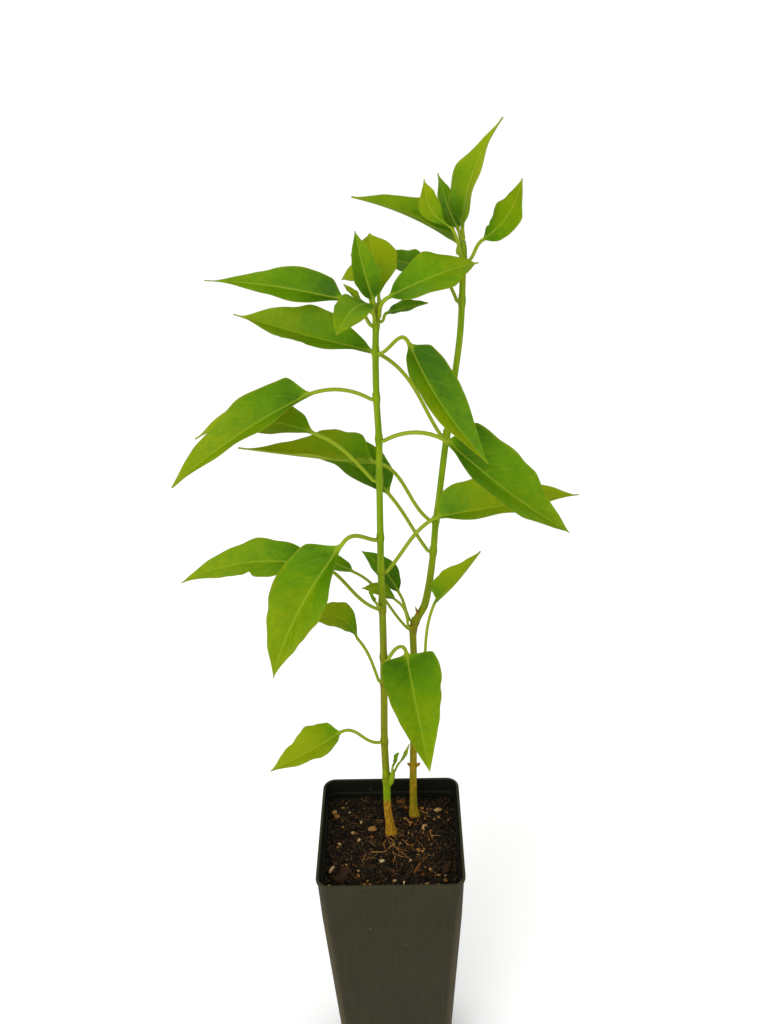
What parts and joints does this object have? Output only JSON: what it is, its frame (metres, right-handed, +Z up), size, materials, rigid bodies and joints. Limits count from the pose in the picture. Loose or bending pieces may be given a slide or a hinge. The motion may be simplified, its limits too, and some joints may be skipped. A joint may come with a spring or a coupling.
{
  "type": "potted chilli pepper plant",
  "caption": "Young chilli pepper plant with slender green stems and pointed folded leaves, growing in a tall tapered square seedling pot filled with dark potting mix.",
  "frame": {"origin": "centre of the pot's underside, on the surface it stands on", "axes": "+Z up along the pot's centre line, -Y towards the picture's viewer, +X to the viewer's right"},
  "size_m": [0.1258, 0.0725, 0.3519],
  "materials": {
    "pot_plastic": "satin",
    "potting_mix": "matte",
    "stem": "satin",
    "leaf": "satin"
  },
  "bodies": {
    "root": {"pot": "pot_plastic", "soil": "potting_mix", "main_stem": "stem", "second_stem": "stem", "main_bud_low_a": "leaf", "main_bud_low_b": "leaf", "main_bud_middle": "leaf", "main_leaf_01_low_left": "leaf", "main_leaf_02_small_left": "leaf", "main_leaf_03_low_front": "leaf", "main_leaf_04_left": "leaf", "main_leaf_05_right": "leaf", "main_leaf_06_front_left": "leaf", "main_leaf_07_left_back": "leaf", "main_leaf_08_right": "leaf", "main_leaf_09_left": "leaf", "main_leaf_10_right_front": "leaf", "main_leaf_11_top_left": "leaf", "main_leaf_12_top_front": "leaf", "main_leaf_13_upright": "leaf", "main_leaf_14_top_back": "leaf", "main_leaf_15_top_right": "leaf", "main_leaf_16_under_right": "leaf", "main_leaf_17_tiny_back": "leaf", "main_leaf_18_tiny_left": "leaf", "second_leaf_01_small_left": "leaf", "second_leaf_02_right": "leaf", "second_leaf_03_dark_small": "leaf", "second_leaf_04_pale_small": "leaf", "second_leaf_05_left_back": "leaf", "second_leaf_06_left": "leaf", "second_leaf_07_upper_left": "leaf", "second_leaf_08_left_small": "leaf", "second_leaf_09_upper_right": "leaf", "second_leaf_10_top_left": "leaf", "second_leaf_11_narrow": "leaf", "second_leaf_12_top": "leaf", "second_leaf_13_pale_front": "leaf"}
  },
  "joints": []
}
